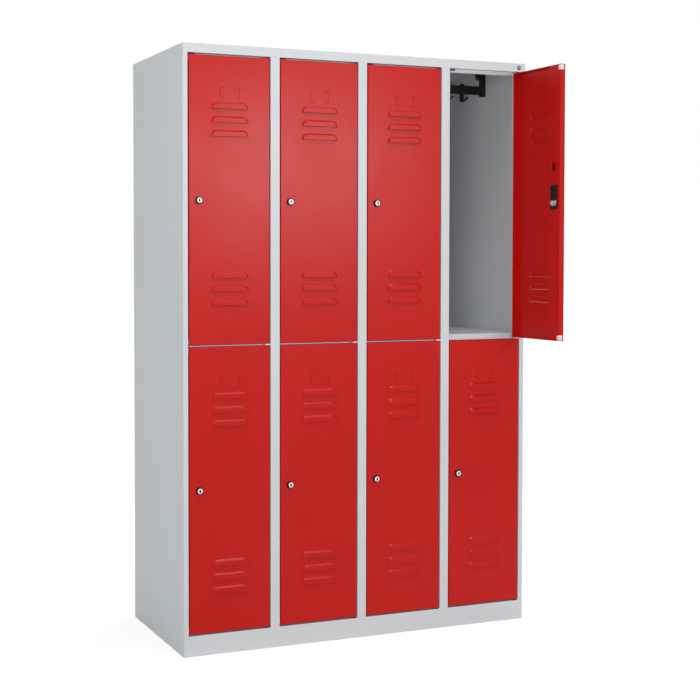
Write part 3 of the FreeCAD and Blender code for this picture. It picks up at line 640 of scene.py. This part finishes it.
def makeShadePad(name, column, settings):
    hinge = Vector(joints[f"door_upper_{column}_swing"]["pos_m"])
    railLow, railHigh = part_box("top_rail")
    start = Vector((hinge.x - settings["hingeToOpening"], railHigh.y, railLow.z))
    shell = bmesh.new()
    for part in ("plug", "flange"):
        low, high = zip(*(settings[part + axis] for axis in "XYZ"))
        addBlock(shell, start + Vector(low), start + Vector(high), settings["edge"], settings["corner"])
    finishPiece(name, shell, [blackMoulding], "carcass")


for column in columns:
    makeShadePad(f"notchShadePad{column}", column, shadePadSettings)
print("pads made")


# stage: pale floor that runs into a white surrounding, and soft lamps
stageSettings = {
    "floorSize": 40.0,
    "floorColour": (0.86, 0.86, 0.87),
    "shadowShare": 0.20,
    "shadowReach": (0.7, 1.5),
    "glow": 1.11,
    "ambient": 0.14,
}


def addSeen(tree):
    path = tree.nodes.new("ShaderNodeLightPath")
    seen = path.outputs["Is Camera Ray"]
    for ray in ("Is Glossy Ray", "Is Transmission Ray"):
        either = tree.nodes.new("ShaderNodeMath")
        either.operation = "MAXIMUM"
        tree.links.new(seen, either.inputs[0])
        tree.links.new(path.outputs[ray], either.inputs[1])
        seen = either.outputs["Value"]
    return seen


def makeFloor(settings):
    shell = bmesh.new()
    bmesh.ops.create_grid(shell, x_segments=1, y_segments=1, size=settings["floorSize"])
    mesh = bpy.data.meshes.new("floor")
    shell.to_mesh(mesh)
    shell.free()
    floor = bpy.data.objects.new("floor", mesh)
    scene.collection.objects.link(floor)
    material = bpy.data.materials.new("paleFloor")
    material.use_nodes = True
    tree = material.node_tree
    tree.nodes.remove(tree.nodes["Principled BSDF"])
    matt = tree.nodes.new("ShaderNodeBsdfDiffuse")
    matt.inputs["Color"].default_value = (*settings["floorColour"], 1)
    glow = tree.nodes.new("ShaderNodeEmission")
    glow.inputs["Color"].default_value = (1, 1, 1, 1)
    glow.inputs["Strength"].default_value = settings["glow"]
    coords = tree.nodes.new("ShaderNodeTexCoord")
    distance = tree.nodes.new("ShaderNodeVectorMath")
    distance.operation = "LENGTH"
    tree.links.new(coords.outputs["Object"], distance.inputs[0])
    fade = tree.nodes.new("ShaderNodeMapRange")
    fade.interpolation_type = "SMOOTHSTEP"
    fade.inputs["From Min"].default_value, fade.inputs["From Max"].default_value = settings["shadowReach"]
    fade.inputs["To Min"].default_value = 1 - settings["shadowShare"]
    fade.inputs["To Max"].default_value = 1.0
    tree.links.new(distance.outputs["Value"], fade.inputs["Value"])
    share = tree.nodes.new("ShaderNodeMath")
    share.operation = "MULTIPLY"
    tree.links.new(addSeen(tree), share.inputs[0])
    tree.links.new(fade.outputs["Result"], share.inputs[1])
    blend = tree.nodes.new("ShaderNodeMixShader")
    tree.links.new(share.outputs["Value"], blend.inputs["Fac"])
    tree.links.new(matt.outputs["BSDF"], blend.inputs[1])
    tree.links.new(glow.outputs["Emission"], blend.inputs[2])
    tree.links.new(blend.outputs["Shader"], tree.nodes["Material Output"].inputs["Surface"])
    mesh.materials.append(material)


def makeSurrounding(settings):
    world = bpy.data.worlds.new("studio")
    scene.world = world
    world.use_nodes = True
    tree = world.node_tree
    background = tree.nodes["Background"]
    background.inputs["Color"].default_value = (1, 1, 1, 1)
    strength = tree.nodes.new("ShaderNodeMapRange")
    strength.inputs["To Min"].default_value = settings["ambient"]
    strength.inputs["To Max"].default_value = 1.0
    tree.links.new(addSeen(tree), strength.inputs["Value"])
    tree.links.new(strength.outputs["Result"], background.inputs["Strength"])


# lamps: only two of them leave a highlight in the paint
lampSettings = {
    "keyBox": {
        "spot": (1.48, -4.6, 1.78), "aim": (-0.3, -0.25, 1.46), "size": (1.3, 0.36), "watts": 44.0,
        "highlight": True,
    },
    "topBox": {
        "spot": (0.4, -1.7, 4.6), "aim": (0.0, -0.3, 0.6), "size": (2.8, 1.6), "watts": 72.0,
        "highlight": True,
    },
    "frontBox": {
        "spot": (-2.6, -4.25, 1.3), "aim": (0.2, 0.0, 1.1), "size": (1.5, 1.5), "watts": 56.0,
        "highlight": False,
    },
    "sideBox": {
        "spot": (-3.0, -0.8, 2.2), "aim": (-0.58, 0.0, 1.3), "size": (1.2, 1.2), "watts": 21.5,
        "highlight": False,
    },
    "backBox": {
        "spot": (2.5, 2.6, 2.4), "aim": (0.3, 0.1, 0.9), "size": (1.8, 1.8), "watts": 102.0,
        "highlight": False,
    },
}


def addLamp(name, settings):
    data = bpy.data.lights.new(name, "AREA")
    data.shape = "RECTANGLE"
    data.size, data.size_y = settings["size"]
    data.energy = settings["watts"]
    lamp = bpy.data.objects.new(name, data)
    scene.collection.objects.link(lamp)
    lamp.visible_camera = False
    lamp.visible_glossy = settings["highlight"]
    lamp.location = settings["spot"]
    aim = Vector(settings["aim"]) - Vector(settings["spot"])
    lamp.rotation_euler = aim.to_track_quat("-Z", "Y").to_euler()


makeFloor(stageSettings)
makeSurrounding(stageSettings)
for name, settings in lampSettings.items():
    addLamp(name, settings)
print("stage lit")
